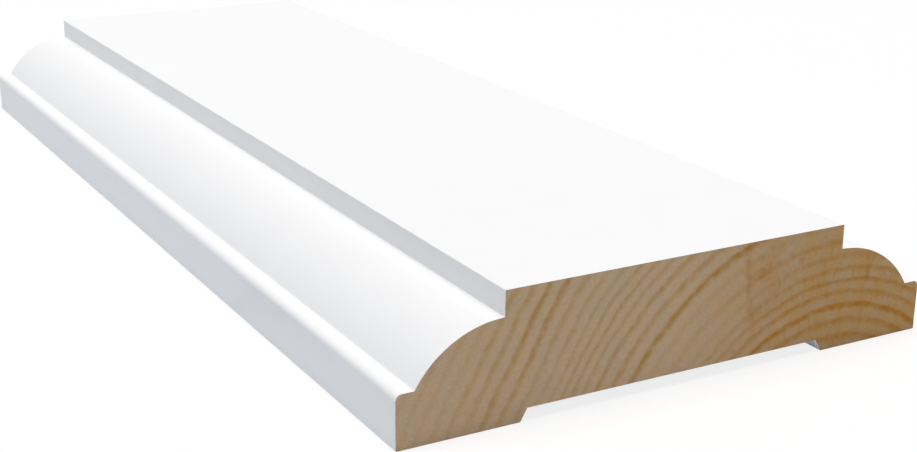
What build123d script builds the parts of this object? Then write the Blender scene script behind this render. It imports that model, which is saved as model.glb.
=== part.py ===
# Architrave moulding: one length of planed softwood, machined all round to a symmetrical section and sawn square.
# X runs across the section, Y along the length, and Z from the back, which goes to the wall, up to the face.
# The origin is in the middle of the plane that the two feet stand on.

import os
from math import radians, tan

from build123d import *

# Driving dimensions, in millimetres and degrees
length = 215.0  # sawn length of the piece
width = 95.0  # over the two outer edges
thickness = 20.5  # from the feet to the raised flat
flat_width = 61.0  # the raised flat, between its two shoulders
shoulder_depth = 4.0  # the upright step from the flat down to the ovolo
edge_height = 8.4  # an outer edge, from the feet up to the nosing
nosing_width = 2.9  # the small level step between the ovolo and the outer edge
nosing_radius = 1.0  # the softened corner of the nosing
foot_width = 19.8  # each foot of the back, which bears on the wall or the door lining
relief_depth = 2.0  # the hollow of the back, between the feet
relief_lean = 30.0  # how far the sides of that hollow lean from upright, in degrees

# Places on the right half of the section
edge_x = width / 2
shoulder_x = flat_width / 2
ovolo_top_z = thickness - shoulder_depth
ovolo_foot_x = edge_x - nosing_width
foot_x = edge_x - foot_width
relief_x = foot_x - relief_depth * tan(radians(relief_lean))

# The moulding, one solid
with BuildPart() as architrave:
    with BuildSketch(Plane.XZ) as section:
        with BuildLine():
            relief = Line((0, relief_depth), (relief_x, relief_depth))
            relief_side = Line(relief @ 1, (foot_x, 0))
            foot = Line(relief_side @ 1, (edge_x, 0))
            outer_edge = Line(foot @ 1, (edge_x, edge_height))
            nosing = Line(outer_edge @ 1, (ovolo_foot_x, edge_height))
            # The ovolo leaves the shoulder level and falls to the nosing in one round sweep
            ovolo = TangentArc((shoulder_x, ovolo_top_z), nosing @ 1, tangent=(1, 0))
            shoulder = Line(ovolo @ 0, (shoulder_x, thickness))
            Line(shoulder @ 1, (0, thickness))
            mirror(about=Plane.YZ)
        make_face()
        by_side = section.vertices().group_by(Axis.X)
        nosing_corners = [side.sort_by(Axis.Y)[-1] for side in (by_side[0], by_side[-1])]
        fillet(nosing_corners, radius=nosing_radius)
    extrude(amount=length / 2, both=True)

architrave.part.label = "architrave"
os.makedirs("parts", exist_ok=True)
export_step(architrave.part, "parts/architrave.step")
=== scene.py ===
# Architrave moulding: one length of pine, painted white on its long faces and sawn square at both ends.
# Metres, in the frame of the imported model: X across, Y along the length, Z up from the feet.

import math

import bpy
from mathutils import Matrix, Vector


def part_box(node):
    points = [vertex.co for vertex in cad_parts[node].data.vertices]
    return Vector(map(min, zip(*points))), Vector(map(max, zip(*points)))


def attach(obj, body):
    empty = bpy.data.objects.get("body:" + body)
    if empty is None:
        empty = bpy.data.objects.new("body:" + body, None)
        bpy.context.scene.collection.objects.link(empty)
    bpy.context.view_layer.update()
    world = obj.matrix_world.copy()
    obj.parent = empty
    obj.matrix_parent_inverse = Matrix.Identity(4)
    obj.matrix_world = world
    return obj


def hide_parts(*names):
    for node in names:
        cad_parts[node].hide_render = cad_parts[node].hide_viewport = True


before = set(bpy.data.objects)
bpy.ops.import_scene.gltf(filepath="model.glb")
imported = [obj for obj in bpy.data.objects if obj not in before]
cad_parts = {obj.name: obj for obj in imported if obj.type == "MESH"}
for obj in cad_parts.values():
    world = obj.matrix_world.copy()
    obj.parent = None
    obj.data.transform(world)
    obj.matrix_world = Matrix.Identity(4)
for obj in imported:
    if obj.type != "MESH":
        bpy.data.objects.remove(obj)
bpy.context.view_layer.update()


# The moulding
# One length of planed pine. A four-sided moulder cuts the whole section at one pass, so it is the same from
# end to end. The long faces are painted white, which softens the corners a little. A saw squares both ends.
mm = 0.001
low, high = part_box("architrave")
width, length, thickness = high - low
sizes = {
    "Length": length,
    "Width": width,
    "Thickness": thickness,
    "Flat width": 61.0 * mm,
    "Shoulder depth": 4.0 * mm,
    "Edge height": 8.4 * mm,
    "Nosing width": 2.9 * mm,
    "Nosing radius": 1.0 * mm,
    "Foot width": 19.8 * mm,
    "Relief depth": 2.0 * mm,
    "Relief lean": math.radians(30.0),
    "Arris radius": 0.12 * mm,
    "Corner fillet": 0.12 * mm,
}
ovolo_steps = 28
rounding_steps = 5
stations = 9
widest_curved_facet = 0.9 * mm
sharp_from = math.radians(40.0)
# A face is a sawn end where its normal lies this much along the length
end_facing = 0.5
# Whole numbers count as the same within this
slack = 0.1


def add(tree, kind, inputs, **settings):
    """Adds a node with its settings, fills its inputs with values or other outputs, and gives its outputs."""
    node = tree.nodes.new(kind)
    for name, value in settings.items():
        setattr(node, name, value)
    if kind == "GeometryNodeIndexSwitch":
        for _ in range(len(inputs) - 1 - len(node.index_switch_items)):
            node.index_switch_items.new()
    for socket, value in inputs.items() if isinstance(inputs, dict) else enumerate(inputs):
        if isinstance(value, bpy.types.NodeSocket):
            tree.links.new(value, node.inputs[socket])
        else:
            node.inputs[socket].default_value = value
    return node.outputs


run = bpy.data.node_groups.new("moulder run", "GeometryNodeTree")
for name in sizes:
    run.interface.new_socket(name, in_out="INPUT", socket_type="NodeSocketFloat")
for name in ("Paint", "Sawn wood"):
    run.interface.new_socket(name, in_out="INPUT", socket_type="NodeSocketMaterial")
run.interface.new_socket("Geometry", in_out="OUTPUT", socket_type="NodeSocketGeometry")
size = add(run, "NodeGroupInput", {})

# Places on one half of the section
edge_x = add(run, "ShaderNodeMath", (size["Width"], 2.0), operation="DIVIDE")[0]
shoulder_x = add(run, "ShaderNodeMath", (size["Flat width"], 2.0), operation="DIVIDE")[0]
ovolo_top = add(run, "ShaderNodeMath", (size["Thickness"], size["Shoulder depth"]), operation="SUBTRACT")[0]
nosing_x = add(run, "ShaderNodeMath", (edge_x, size["Nosing width"]), operation="SUBTRACT")[0]
foot_x = add(run, "ShaderNodeMath", (edge_x, size["Foot width"]), operation="SUBTRACT")[0]
relief_slope = add(run, "ShaderNodeMath", (size["Relief lean"],), operation="TANGENT")[0]
relief_run = add(run, "ShaderNodeMath", (size["Relief depth"], relief_slope), operation="MULTIPLY")[0]
relief_x = add(run, "ShaderNodeMath", (foot_x, relief_run), operation="SUBTRACT")[0]

# The ovolo leaves the shoulder level, so its centre is straight below that start
reach = add(run, "ShaderNodeMath", (nosing_x, shoulder_x), operation="SUBTRACT")[0]
drop = add(run, "ShaderNodeMath", (ovolo_top, size["Edge height"]), operation="SUBTRACT")[0]
slope = add(run, "ShaderNodeMath", (drop, reach), operation="ARCTAN2")[0]
sweep = add(run, "ShaderNodeMath", (slope, 2.0), operation="MULTIPLY")[0]
sweep_sine = add(run, "ShaderNodeMath", (sweep,), operation="SINE")[0]
ovolo_radius = add(run, "ShaderNodeMath", (reach, sweep_sine), operation="DIVIDE")[0]

# Points round the section: down the right half from the flat to the relief, then back up the left half.
# A half has the end of the flat, the ovolo's points, the edge's top and bottom, and two for the relief's side
half_points = 1 + (ovolo_steps + 1) + 4
index = add(run, "GeometryNodeInputIndex", {})[0]
back = add(run, "ShaderNodeMath", (2 * half_points - 1, index), operation="SUBTRACT")[0]
step = add(run, "ShaderNodeMath", (index, back), operation="MINIMUM")[0]
on_right = add(run, "ShaderNodeMath", (index, half_points - 0.5), operation="LESS_THAN")[0]
side = add(run, "ShaderNodeMapRange", {"Value": on_right, "To Min": -1.0, "To Max": 1.0})[0]
first = add(run, "ShaderNodeMath", (step, 1.0), operation="MINIMUM")[0]
beyond = add(run, "ShaderNodeMath", (step, ovolo_steps + 1), operation="SUBTRACT")[0]
after = add(run, "ShaderNodeMath", (beyond, 0.0), operation="MAXIMUM")[0]
corner = add(run, "ShaderNodeMath", (first, after), operation="ADD")[0]
turned = add(run, "ShaderNodeMapRange", {
    "Value": step, "From Min": 1.0, "From Max": ovolo_steps + 1, "To Max": sweep})[0]
turned_sine = add(run, "ShaderNodeMath", (turned,), operation="SINE")[0]
turned_cosine = add(run, "ShaderNodeMath", (turned,), operation="COSINE")[0]
ovolo_x = add(run, "ShaderNodeMath", (ovolo_radius, turned_sine, shoulder_x), operation="MULTIPLY_ADD")[0]
centre_z = add(run, "ShaderNodeMath", (ovolo_top, ovolo_radius), operation="SUBTRACT")[0]
ovolo_z = add(run, "ShaderNodeMath", (ovolo_radius, turned_cosine, centre_z), operation="MULTIPLY_ADD")[0]
half_place = add(run, "GeometryNodeIndexSwitch", {
    "Index": corner,
    "0": add(run, "ShaderNodeCombineXYZ", (shoulder_x, size["Thickness"]))[0],
    "1": add(run, "ShaderNodeCombineXYZ", (ovolo_x, ovolo_z))[0],
    "2": add(run, "ShaderNodeCombineXYZ", (edge_x, size["Edge height"]))[0],
    "3": add(run, "ShaderNodeCombineXYZ", (edge_x,))[0],
    "4": add(run, "ShaderNodeCombineXYZ", (foot_x,))[0],
    "5": add(run, "ShaderNodeCombineXYZ", (relief_x, size["Relief depth"]))[0],
}, data_type="VECTOR")[0]
mirror = add(run, "ShaderNodeCombineXYZ", (side, 1.0))[0]
section_place = add(run, "ShaderNodeVectorMath", (half_place, mirror), operation="MULTIPLY")[0]

# How far each corner is rounded: paint fills the two hollow corners of the ovolo, and its other points stay
ovolo_middle = 1 + ovolo_steps / 2
off_middle = add(run, "ShaderNodeMath", (step, ovolo_middle), operation="SUBTRACT")[0]
off_middle = add(run, "ShaderNodeMath", (off_middle,), operation="ABSOLUTE")[0]
ovolo_end = add(run, "ShaderNodeMath", (off_middle, ovolo_steps / 2, slack), operation="COMPARE")[0]
filled = add(run, "ShaderNodeMath", (size["Corner fillet"], ovolo_end), operation="MULTIPLY")[0]
rounding = add(run, "GeometryNodeIndexSwitch", {
    "Index": corner,
    "0": size["Arris radius"],
    "1": filled,
    "2": size["Nosing radius"],
    "3": size["Arris radius"],
    "4": size["Arris radius"],
    "5": size["Corner fillet"],
}, data_type="FLOAT")[0]
rounded = add(run, "ShaderNodeMath", (rounding, 0.0), operation="GREATER_THAN")[0]
arc_steps = add(run, "ShaderNodeMath", (rounded, rounding_steps), operation="MULTIPLY")[0]

# The section swept up an upright rail, with its ends closed and its faces turned outwards, and then laid down
loop = add(run, "GeometryNodeCurvePrimitiveCircle", {"Resolution": 2 * half_points})[0]
section = add(run, "GeometryNodeSetPosition", {"Geometry": loop, "Position": section_place})[0]
section = add(run, "GeometryNodeFilletCurve", {
    "Curve": section, "Count": arc_steps, "Radius": rounding, "Limit Radius": True}, mode="POLY")[0]
rail_top = add(run, "ShaderNodeMath", (size["Length"], 0.5), operation="MULTIPLY")[0]
rail_foot = add(run, "ShaderNodeMath", (rail_top, -1.0), operation="MULTIPLY")[0]
start = add(run, "ShaderNodeCombineXYZ", {"Z": rail_foot})[0]
end = add(run, "ShaderNodeCombineXYZ", {"Z": rail_top})[0]
rail = add(run, "GeometryNodeCurvePrimitiveLine", {"Start": start, "End": end}, mode="POINTS")[0]
rail = add(run, "GeometryNodeResampleCurve", {"Curve": rail, "Count": stations}, mode="COUNT")[0]
swept = add(run, "GeometryNodeCurveToMesh", {"Curve": rail, "Profile Curve": section, "Fill Caps": True})[0]
swept = add(run, "GeometryNodeFlipFaces", {"Mesh": swept})[0]
laid = add(run, "GeometryNodeTransform", {"Geometry": swept, "Rotation": (math.pi / 2, 0.0, 0.0)})[0]

# Flats are shaded flat and the rounded facets smooth, with a sharp line round each sawn end
area = add(run, "GeometryNodeInputMeshFaceArea", {})[0]
station_gap = add(run, "ShaderNodeMath", (size["Length"], stations - 1), operation="DIVIDE")[0]
facet = add(run, "ShaderNodeMath", (area, station_gap), operation="DIVIDE")[0]
curved = add(run, "ShaderNodeMath", (facet, widest_curved_facet), operation="LESS_THAN")[0]
laid = add(run, "GeometryNodeSetShadeSmooth", {"Geometry": laid, "Shade Smooth": curved}, domain="FACE")[0]
fold = add(run, "GeometryNodeInputMeshEdgeAngle", {})["Unsigned Angle"]
soft = add(run, "ShaderNodeMath", (fold, sharp_from), operation="LESS_THAN")[0]
laid = add(run, "GeometryNodeSetShadeSmooth", {"Geometry": laid, "Shade Smooth": soft}, domain="EDGE")[0]
normal = add(run, "GeometryNodeInputNormal", {})["Normal"]
facing = add(run, "ShaderNodeSeparateXYZ", (normal,))["Y"]
facing = add(run, "ShaderNodeMath", (facing,), operation="ABSOLUTE")[0]
sawn = add(run, "ShaderNodeMath", (facing, end_facing), operation="GREATER_THAN")[0]
laid = add(run, "GeometryNodeRealizeInstances", {"Geometry": laid})[0]
laid = add(run, "GeometryNodeSetMaterial", {"Geometry": laid, "Material": size["Paint"]})[0]
laid = add(run, "GeometryNodeSetMaterial", {
    "Geometry": laid, "Selection": sawn, "Material": size["Sawn wood"]})[0]
add(run, "NodeGroupOutput", {"Geometry": laid})


def linear(colour):
    """Turns an sRGB hex colour into linear RGBA."""
    shares = [int(colour[i:i + 2], 16) / 255 for i in (1, 3, 5)]
    return [c / 12.92 if c <= 0.04045 else ((c + 0.055) / 1.055) ** 2.4 for c in shares] + [1.0]


def new_finish(name):
    """Makes a material with an empty node tree."""
    finish = bpy.data.materials.new(name)
    finish.use_nodes = True
    finish.node_tree.nodes.clear()
    return finish


# The tree that the piece was sawn from: its pith lies below the right part of the section at the near end
pith = (30.0 * mm, low.y, -22.5 * mm)
trunk_lean = (math.radians(0.5), 0.0, math.radians(-0.7))
# Rings wander over these distances by up to half these amounts, both in mm, and change slowly along the trunk
wanders = ((40.0, 0.8), (4.0, 0.5), (1.5, 0.28))
along_trunk = 0.08
# One side of the trunk is a little flat, so its outer rings run nearly straight there. The flat grows between
# two radii to its full depth, all in mm, and its level is the share of that depth at which a radius is kept
flat_side, flat_spread = math.radians(151.0), math.radians(9.0)
flat_from, flat_to = 52.0, 64.0
flat_depth, flat_level = 1.4, 0.75
# Radius in mm against growth rings, counted from the inmost ring that the section cuts, inside these spans
innermost, outermost, most_rings = 15.0, 85.0, 28.0
growth = (
    (22.0, 0.1), (31.0, 3.65), (37.8, 7.0), (46.1, 10.0), (51.4, 12.0),
    (60.4, 17.0), (67.7, 20.0), (72.6, 22.0), (80.0, 25.2),
)
# Latewood darkens slowly towards the end of a year and stops short where the next spring's wood starts. These
# are parts of a year, before and past the ring
late_starts, late_full, late_ends, late_over = -0.44, -0.03, 0.02, 0.26


def growth_rings(tree):
    """Gives a point's place in the trunk in mm, radius and angle about the pith, year and latewood."""
    here = add(tree, "ShaderNodeTexCoord", {})["Object"]
    trunk = add(tree, "ShaderNodeMapping", {
        "Vector": here, "Location": pith, "Rotation": trunk_lean, "Scale": (mm, mm, mm)},
        vector_type="TEXTURE")[0]
    drawn_out = add(tree, "ShaderNodeVectorMath", (trunk, (1.0, along_trunk, 1.0)), operation="MULTIPLY")[0]
    for distance, amount in wanders:
        wander = add(tree, "ShaderNodeTexNoise", {
            "Vector": drawn_out, "Scale": 1 / distance, "Detail": 0.0})["Color"]
        wander = add(tree, "ShaderNodeVectorMath", (wander, (0.5, 0.5, 0.5)), operation="SUBTRACT")[0]
        trunk = add(tree, "ShaderNodeVectorMath", (wander, (amount,) * 3, trunk), operation="MULTIPLY_ADD")[0]
    across = add(tree, "ShaderNodeVectorMath", (trunk, (1.0, 0.0, 1.0)), operation="MULTIPLY")[0]
    radius = add(tree, "ShaderNodeVectorMath", (across,), operation="LENGTH")["Value"]
    axes = add(tree, "ShaderNodeSeparateXYZ", (across,))
    angle = add(tree, "ShaderNodeMath", (axes["Z"], axes["X"]), operation="ARCTAN2")[0]
    aside = add(tree, "ShaderNodeMath", (angle, flat_side), operation="SUBTRACT")[0]
    aside = add(tree, "ShaderNodeMath", (aside, flat_spread), operation="DIVIDE")[0]
    aside = add(tree, "ShaderNodeMath", (aside, aside), operation="MULTIPLY")[0]
    aside = add(tree, "ShaderNodeMath", (aside, -1.0), operation="MULTIPLY")[0]
    dent = add(tree, "ShaderNodeMath", (aside,), operation="EXPONENT")[0]
    dent = add(tree, "ShaderNodeMath", (dent, flat_level), operation="SUBTRACT")[0]
    dent_depth = add(tree, "ShaderNodeMapRange", {
        "Value": radius, "From Min": flat_from, "From Max": flat_to, "To Max": flat_depth},
        interpolation_type="SMOOTHSTEP")[0]
    radius = add(tree, "ShaderNodeMath", (dent, dent_depth, radius), operation="MULTIPLY_ADD")[0]
    share = add(tree, "ShaderNodeMapRange", {
        "Value": radius, "From Min": innermost, "From Max": outermost})[0]
    counted = add(tree, "ShaderNodeFloatCurve", {"Value": share})[0]
    mapping = counted.node.mapping
    points = mapping.curves[0].points
    places = [((r - innermost) / (outermost - innermost), n / most_rings) for r, n in growth]
    points[0].location = places[0]
    points[1].location = places[-1]
    for place in places[1:-1]:
        points.new(*place)
    mapping.extend = "EXTRAPOLATED"
    mapping.update()
    age = add(tree, "ShaderNodeMath", (counted, most_rings), operation="MULTIPLY")[0]
    year = add(tree, "ShaderNodeMath", (age,), operation="ROUND")[0]
    past = add(tree, "ShaderNodeMath", (age, year), operation="SUBTRACT")[0]
    rise = add(tree, "ShaderNodeMapRange", {
        "Value": past, "From Min": late_starts, "From Max": late_full}, interpolation_type="SMOOTHSTEP")[0]
    fall = add(tree, "ShaderNodeMapRange", {
        "Value": past, "From Min": late_over, "From Max": late_ends}, interpolation_type="SMOOTHSTEP")[0]
    latewood = add(tree, "ShaderNodeMath", (rise, fall), operation="MULTIPLY")[0]
    return trunk, radius, angle, year, latewood


# White paint on machined pine: two thin sprayed coats, satin, nearly neutral white. The latewood stands a
# hundredth of a millimetre proud under it, so faint straight lines run along the faces in grazing light.
paint = new_finish("white_paint_on_pine")
tree = paint.node_tree
trunk, _, _, _, latewood = growth_rings(tree)
mist_spread, peel_spread = 9.0, 0.9
glossiest, dullest = 0.36, 0.46
peel_share = 0.35
paint_relief = 0.008 * mm
mist = add(tree, "ShaderNodeTexNoise", {"Vector": trunk, "Scale": 1 / mist_spread, "Detail": 3.0})["Fac"]
white = add(tree, "ShaderNodeMix", {
    "Factor": mist, 6: linear("#F4F4F4"), 7: linear("#F8F8F8")}, data_type="RGBA")[2]
satin = add(tree, "ShaderNodeMapRange", {"Value": mist, "To Min": glossiest, "To Max": dullest})[0]
peel = add(tree, "ShaderNodeTexNoise", {"Vector": trunk, "Scale": 1 / peel_spread, "Detail": 1.0})["Fac"]
height = add(tree, "ShaderNodeMath", (peel, peel_share, latewood), operation="MULTIPLY_ADD")[0]
bump = add(tree, "ShaderNodeBump", {"Height": height, "Strength": 1.0, "Distance": paint_relief})[0]
shader = add(tree, "ShaderNodeBsdfPrincipled", {
    "Base Color": white, "Roughness": satin, "IOR": 1.5, "Specular IOR Level": 0.3, "Normal": bump})[0]
add(tree, "ShaderNodeOutputMaterial", {"Surface": shader})

# Sawn pine end grain: tan spring wood with narrow orange-brown latewood rings, browner in the heart and
# greyer in the sapwood, matt and slightly furry from the saw.
sawn_pine = new_finish("sawn_pine_end_grain")
tree = sawn_pine.node_tree
trunk, radius, angle, year, latewood = growth_rings(tree)
# The brown of the heart is strongest above and to the right of the pith and fades slowly into the sapwood:
# its place from the pith, and the distances from there at which it starts to fade and is gone, in mm
brownest = (8.0, 0.0, 28.0)
brown_within, sapwood_from = 8.0, 45.0
level_place = add(tree, "ShaderNodeVectorMath", (trunk, (1.0, 0.0, 1.0)), operation="MULTIPLY")[0]
away = add(tree, "ShaderNodeVectorMath", (level_place, brownest), operation="DISTANCE")["Value"]
sapwood = add(tree, "ShaderNodeMapRange", {
    "Value": away, "From Min": brown_within, "From Max": sapwood_from}, interpolation_type="SMOOTHSTEP")[0]
pale = add(tree, "ShaderNodeMix", {
    "Factor": sapwood, 6: linear("#C3985F"), 7: linear("#CFAF89")}, data_type="RGBA")[2]
late = add(tree, "ShaderNodeMix", {
    "Factor": sapwood, 6: linear("#B57512"), 7: linear("#B38331")}, data_type="RGBA")[2]
# Spring wood is greyer in patches a few millimetres wide
patch_spread = 4.0
patch_from, patch_full, greyest = 0.4, 0.7, 0.4
patch = add(tree, "ShaderNodeTexNoise", {"Vector": trunk, "Scale": 1 / patch_spread, "Detail": 1.0})["Fac"]
patch = add(tree, "ShaderNodeMapRange", {
    "Value": patch, "From Min": patch_from, "From Max": patch_full, "To Max": greyest})[0]
pale = add(tree, "ShaderNodeMix", {"Factor": patch, 6: pale, 7: linear("#C3AC92")}, data_type="RGBA")[2]
# A year leaves a ring between light and middling by chance, and these years more or less than that: the year,
# and how much is added to the ring's strength
lightest, middling = 0.2, 0.37
uneven_years = (
    (0, 0.1), (1, 0.4), (2, 0.22), (3, 0.52), (4, 0.35), (5, 0.25), (6, 0.15),
    (8, 0.1), (9, -0.1), (10, 0.43), (11, 0.2), (12, 0.3), (14, 0.15),
    (17, -0.05), (18, 0.15), (19, 0.28), (20, 0.45), (21, 0.2), (22, 0.15),
)
strength = add(tree, "ShaderNodeTexWhiteNoise", {"W": year}, noise_dimensions="1D")["Value"]
strength = add(tree, "ShaderNodeMapRange", {"Value": strength, "To Min": lightest, "To Max": middling})[0]
for uneven_year, more in uneven_years:
    this_year = add(tree, "ShaderNodeMath", (year, uneven_year, slack), operation="COMPARE")[0]
    strength = add(tree, "ShaderNodeMath", (this_year, more, strength), operation="MULTIPLY_ADD")[0]
# All rings fade towards the left edge
fade_from, fade_to, faded = math.radians(147.0), math.radians(160.0), 0.55
fading = add(tree, "ShaderNodeMapRange", {
    "Value": angle, "From Min": fade_from, "From Max": fade_to, "To Min": 1.0, "To Max": faded})[0]
strength = add(tree, "ShaderNodeMath", (strength, fading), operation="MULTIPLY")[0]
# The years round the edge of the heart, between these radii in mm, are faint on the left of the pith
faint_from, faint_to, faintest = math.radians(98.0), math.radians(115.0), 0.5
inner_from, inner_to = 32.0, 34.0
outer_from, outer_to = 44.0, 42.0
leftwards = add(tree, "ShaderNodeMapRange", {"Value": angle, "From Min": faint_from, "From Max": faint_to})[0]
past_inner = add(tree, "ShaderNodeMapRange", {
    "Value": radius, "From Min": inner_from, "From Max": inner_to, "To Max": faintest})[0]
inside_outer = add(tree, "ShaderNodeMapRange", {
    "Value": radius, "From Min": outer_from, "From Max": outer_to})[0]
faint = add(tree, "ShaderNodeMath", (past_inner, inside_outer), operation="MULTIPLY")[0]
faint = add(tree, "ShaderNodeMath", (faint, leftwards), operation="MULTIPLY")[0]
kept = add(tree, "ShaderNodeMath", (1.0, faint), operation="SUBTRACT")[0]
strength = add(tree, "ShaderNodeMath", (strength, kept), operation="MULTIPLY")[0]
# Rings and streaks are broken up over about a millimetre
broken_spread = 1.3
weak_below, strong_above = 0.3, 0.7
weakest, strongest = 0.6, 1.35
broken = add(tree, "ShaderNodeTexNoise", {"Vector": trunk, "Scale": 1 / broken_spread, "Detail": 1.0})["Fac"]
broken = add(tree, "ShaderNodeMapRange", {
    "Value": broken, "From Min": weak_below, "From Max": strong_above,
    "To Min": weakest, "To Max": strongest})[0]
strength = add(tree, "ShaderNodeMath", (strength, broken), operation="MULTIPLY")[0]
darkness = add(tree, "ShaderNodeMath", (latewood, strength), operation="MULTIPLY", use_clamp=True)[0]
ringed = add(tree, "ShaderNodeMix", {"Factor": darkness, 6: pale, 7: late}, data_type="RGBA")[2]
# Rays run out from the pith through the heart, as long faint threads and as short dark flecks. Both are drawn
# half a millimetre wide, coarser than life, to show: cells of noise to a radian, cells to a mm outwards, the
# noise level at which they start, strength
ray_kinds = ((60.0, 0.2, 0.55, 0.12), (58.0, 0.5, 0.63, 0.35))
ray_softness = 0.3
marks = 0.0
for to_radian, to_mm, starts_at, depth in ray_kinds:
    fan = add(tree, "ShaderNodeCombineXYZ", {
        "X": add(tree, "ShaderNodeMath", (angle, to_radian), operation="MULTIPLY")[0],
        "Y": add(tree, "ShaderNodeMath", (radius, to_mm), operation="MULTIPLY")[0]})[0]
    ray = add(tree, "ShaderNodeTexNoise", {
        "Vector": fan, "Scale": 1.0, "Detail": 0.0}, noise_dimensions="2D")["Fac"]
    ray = add(tree, "ShaderNodeMapRange", {
        "Value": ray, "From Min": starts_at, "From Max": starts_at + ray_softness, "To Max": depth})[0]
    marks = add(tree, "ShaderNodeMath", (ray, marks), operation="ADD")[0]
heart = add(tree, "ShaderNodeMath", (1.0, sapwood), operation="SUBTRACT")[0]
marks = add(tree, "ShaderNodeMath", (marks, heart), operation="MULTIPLY")[0]
# Resin streaks cross the rings, with a broad stain beside the first of them and a dash along a ring: angle in
# degrees and radius in mm at the middle, lean in degrees to a mm, half length and half width in mm, strength
streaks = (
    (116.4, 40.0, -0.53, 9.0, 1.0, 0.3),
    (110.7, 40.0, -0.53, 10.0, 6.0, 0.14),
    (112.0, 40.7, 0.0, 1.1, 3.6, 0.28),
    (79.5, 34.6, 0.2, 1.9, 0.9, 0.45),
    (79.0, 29.0, 0.2, 5.0, 0.7, 0.2),
)
jitter_spread, jitter_reach = 1.5, 0.9
jitter = add(tree, "ShaderNodeTexNoise", {"Vector": trunk, "Scale": 1 / jitter_spread, "Detail": 1.0})["Fac"]
jitter = add(tree, "ShaderNodeMapRange", {
    "Value": jitter, "To Min": -jitter_reach, "To Max": jitter_reach})[0]
for middle, outwards, lean, half_length, half_width, depth in streaks:
    line = add(tree, "ShaderNodeMapRange", {
        "Value": radius, "From Min": outwards - half_length, "From Max": outwards + half_length,
        "To Min": math.radians(middle - lean * half_length),
        "To Max": math.radians(middle + lean * half_length)})[0]
    off = add(tree, "ShaderNodeMath", (angle, line), operation="SUBTRACT")[0]
    off = add(tree, "ShaderNodeMath", (off, radius, jitter), operation="MULTIPLY_ADD")[0]
    off = add(tree, "ShaderNodeMath", (off,), operation="ABSOLUTE")[0]
    on_line = add(tree, "ShaderNodeMapRange", {
        "Value": off, "From Min": half_width, "From Max": 0.0}, interpolation_type="SMOOTHSTEP")[0]
    on_line = add(tree, "ShaderNodeMath", (on_line, broken), operation="MULTIPLY")[0]
    from_middle = add(tree, "ShaderNodeMath", (radius, outwards), operation="SUBTRACT")[0]
    from_middle = add(tree, "ShaderNodeMath", (from_middle,), operation="ABSOLUTE")[0]
    within = add(tree, "ShaderNodeMapRange", {
        "Value": from_middle, "From Min": half_length, "From Max": half_length / 2, "To Max": depth},
        interpolation_type="SMOOTHSTEP")[0]
    marks = add(tree, "ShaderNodeMath", (on_line, within, marks), operation="MULTIPLY_ADD", use_clamp=True)[0]
marked = add(tree, "ShaderNodeMix", {"Factor": marks, 6: ringed, 7: linear("#AE7118")}, data_type="RGBA")[2]
# The saw leaves a fine fur, drawn half a millimetre wide to show, and the hard latewood stands proud of it
fibre_spread = 0.5
fibre_dark, fibre_light = 0.865, 1.105
latewood_share = 0.6
fur_relief = 0.04 * mm
fibre = add(tree, "ShaderNodeTexNoise", {"Vector": trunk, "Scale": 1 / fibre_spread, "Detail": 2.0})["Fac"]
shade = add(tree, "ShaderNodeMapRange", {"Value": fibre, "To Min": fibre_dark, "To Max": fibre_light})[0]
grain = add(tree, "ShaderNodeMix", {
    "Factor": 1.0, 6: marked, 7: shade}, data_type="RGBA", blend_type="MULTIPLY")[2]
height = add(tree, "ShaderNodeMath", (latewood, latewood_share, fibre), operation="MULTIPLY_ADD")[0]
bump = add(tree, "ShaderNodeBump", {"Height": height, "Strength": 1.0, "Distance": fur_relief})[0]
shader = add(tree, "ShaderNodeBsdfPrincipled", {
    "Base Color": grain, "Roughness": 0.8, "IOR": 1.5, "Specular IOR Level": 0.3, "Normal": bump})[0]
add(tree, "ShaderNodeOutputMaterial", {"Surface": shader})

moulding = bpy.data.objects.new("moulding", bpy.data.meshes.new("moulding"))
bpy.context.collection.objects.link(moulding)
moulder = moulding.modifiers.new("moulder run", "NODES")
moulder.node_group = run
run_inputs = {**sizes, "Paint": paint, "Sawn wood": sawn_pine}
for socket in run.interface.items_tree:
    if socket.in_out == "INPUT":
        moulder[socket.identifier] = run_inputs[socket.name]
evaluated = moulding.evaluated_get(bpy.context.evaluated_depsgraph_get())
shape = bpy.data.meshes.new_from_object(evaluated)
moulding.modifiers.remove(moulder)
moulding.data = shape

# The map that the finish is laid out on: the two sawn ends large, and the painted faces unrolled below them
map_margin, map_width = 0.01, 0.98
near_end_bottom, far_end_bottom = 0.78, 0.56
painted_height = 0.53
section_points = len(shape.vertices) // stations
outline = [shape.vertices[i].co.xz for i in range(section_points)]
around = [0.0]
for i in range(section_points):
    around.append(around[-1] + (outline[(i + 1) % section_points] - outline[i]).length)
girth = around[section_points]
layout = shape.uv_layers.new(name="OFBake")
for face in shape.polygons:
    profile = [shape.loops[i].vertex_index % section_points for i in face.loop_indices]
    closing = 0 in profile and section_points - 1 in profile
    for i, at in zip(face.loop_indices, profile):
        x, y, z = shape.vertices[shape.loops[i].vertex_index].co
        if abs(face.normal.y) > end_facing:
            bottom = near_end_bottom if y < 0 else far_end_bottom
            scale = map_width / width
            layout.uv[i].vector = (0.5 + x * scale, bottom + z * scale)
        else:
            unrolled = girth if closing and at == 0 else around[at]
            up = map_margin + unrolled / girth * painted_height
            layout.uv[i].vector = (0.5 + y / length * map_width, up)
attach(moulding, "root")
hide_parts("architrave")


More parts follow.
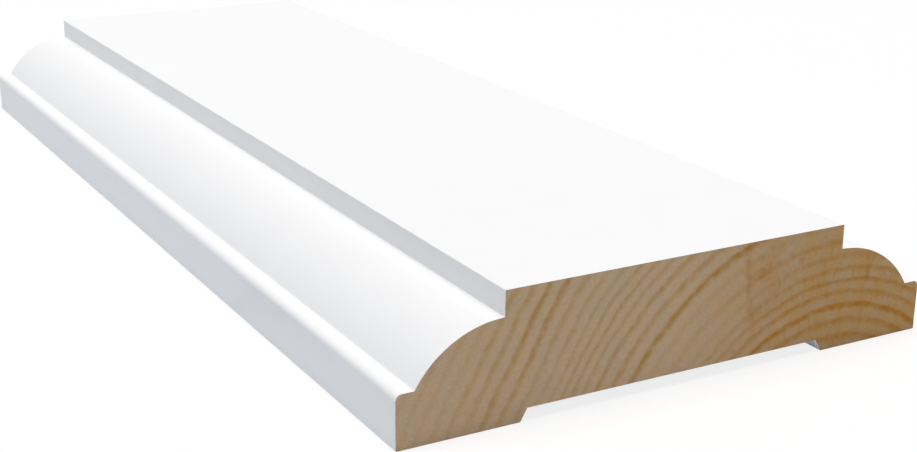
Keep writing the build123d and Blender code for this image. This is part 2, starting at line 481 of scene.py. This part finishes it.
# The floor
# A plain white studio board, which the moulding lies on by its two feet. What is seen of it is lifted nearly
# to white, so that only a faint shadow stays. The light that it throws back is a little lower and cooler.
floor_half = 3.0
floor_lift = 0.8
corners = ((-1, -1), (1, -1), (1, 1), (-1, 1))
floor_mesh = bpy.data.meshes.new("floor")
floor_mesh.from_pydata([(x * floor_half, y * floor_half, 0.0) for x, y in corners], [], [(0, 1, 2, 3)])
floor = bpy.data.objects.new("floor", floor_mesh)
bpy.context.collection.objects.link(floor)


def shown(tree):
    """Gives 1 where a surface is seen, also in gloss, and 0 where it only throws light on something else."""
    ray = add(tree, "ShaderNodeLightPath", {})
    seen = add(tree, "ShaderNodeMath", (ray["Is Camera Ray"], ray["Is Glossy Ray"]), operation="MAXIMUM")[0]
    return add(tree, "ShaderNodeMath", (seen, ray["Is Transmission Ray"]), operation="MAXIMUM")[0]


board = new_finish("white_studio_board")
tree = board.node_tree
seen = shown(tree)
board_white = add(tree, "ShaderNodeMix", {
    "Factor": seen, 6: linear("#EAEFF4"), 7: linear("#FCFCFC")}, data_type="RGBA")[2]
matt = add(tree, "ShaderNodeBsdfDiffuse", {"Color": board_white})[0]
lit = add(tree, "ShaderNodeEmission", {"Color": linear("#FFFFFF"), "Strength": 1.0})[0]
lift = add(tree, "ShaderNodeMath", (seen, floor_lift), operation="MULTIPLY")[0]
shader = add(tree, "ShaderNodeMixShader", (lift, matt, lit))[0]
add(tree, "ShaderNodeOutputMaterial", {"Surface": shader})
floor_mesh.materials.append(board)


# The light
# One large soft lamp nearly overhead, a little to the left, and a pale cool room all round. The room is seen
# as white behind the moulding, and lights it at a quarter of that.
room_level = 0.25
lamp_width, lamp_distance, lamp_watts = 2.25, 3.0, 83.5
lamp_way = Vector((-0.065, 0.0, 1.0))
world = bpy.data.worlds.new("pale room")
bpy.context.scene.world = world
world.use_nodes = True
tree = world.node_tree
tree.nodes.clear()
seen = shown(tree)
level = add(tree, "ShaderNodeMapRange", {"Value": seen, "To Min": room_level, "To Max": 1.0})[0]
tint = add(tree, "ShaderNodeMix", {
    "Factor": seen, 6: linear("#E4F1FF"), 7: linear("#FFFFFF")}, data_type="RGBA")[2]
room = add(tree, "ShaderNodeBackground", {"Color": tint, "Strength": level})[0]
add(tree, "ShaderNodeOutputWorld", {"Surface": room})
lamp_data = bpy.data.lights.new("soft lamp", "AREA")
lamp_data.shape = "DISK"
lamp_data.size = lamp_width
lamp_data.energy = lamp_watts
lamp_data.color = linear("#FFFBF8")[:3]
lamp = bpy.data.objects.new("soft lamp", lamp_data)
bpy.context.collection.objects.link(lamp)
lamp.location = lamp_way.normalized() * lamp_distance
lamp.rotation_euler = lamp_way.to_track_quat("Z", "Y").to_euler()


# The camera
# A short telephoto from the near left, a little above the moulding, with the photograph's framing. It is
# swung round, dipped and rolled about the point that it aims at, and stands off from there.
aim = Vector((-7.19, -52.71, 10.0)) * mm
stand_off = 275.5 * mm
swing, dip, roll = math.radians(29.34), math.radians(18.39), math.radians(0.485)
swung = Matrix.Rotation(-swing, 4, "Z")
dipped = Matrix.Rotation(math.pi / 2 - dip, 4, "X")
rolled = Matrix.Rotation(roll, 4, "Z")
camera_data = bpy.data.cameras.new("camera")
camera_data.lens = 62.04
camera_data.sensor_width = 36.0
camera_data.clip_start = 0.01
camera = bpy.data.objects.new("camera", camera_data)
bpy.context.collection.objects.link(camera)
camera.matrix_world = (
    Matrix.Translation(aim) @ swung @ dipped @ rolled @ Matrix.Translation((0.0, 0.0, stand_off)))
bpy.context.scene.camera = camera
bpy.context.scene.view_settings.view_transform = "Standard"
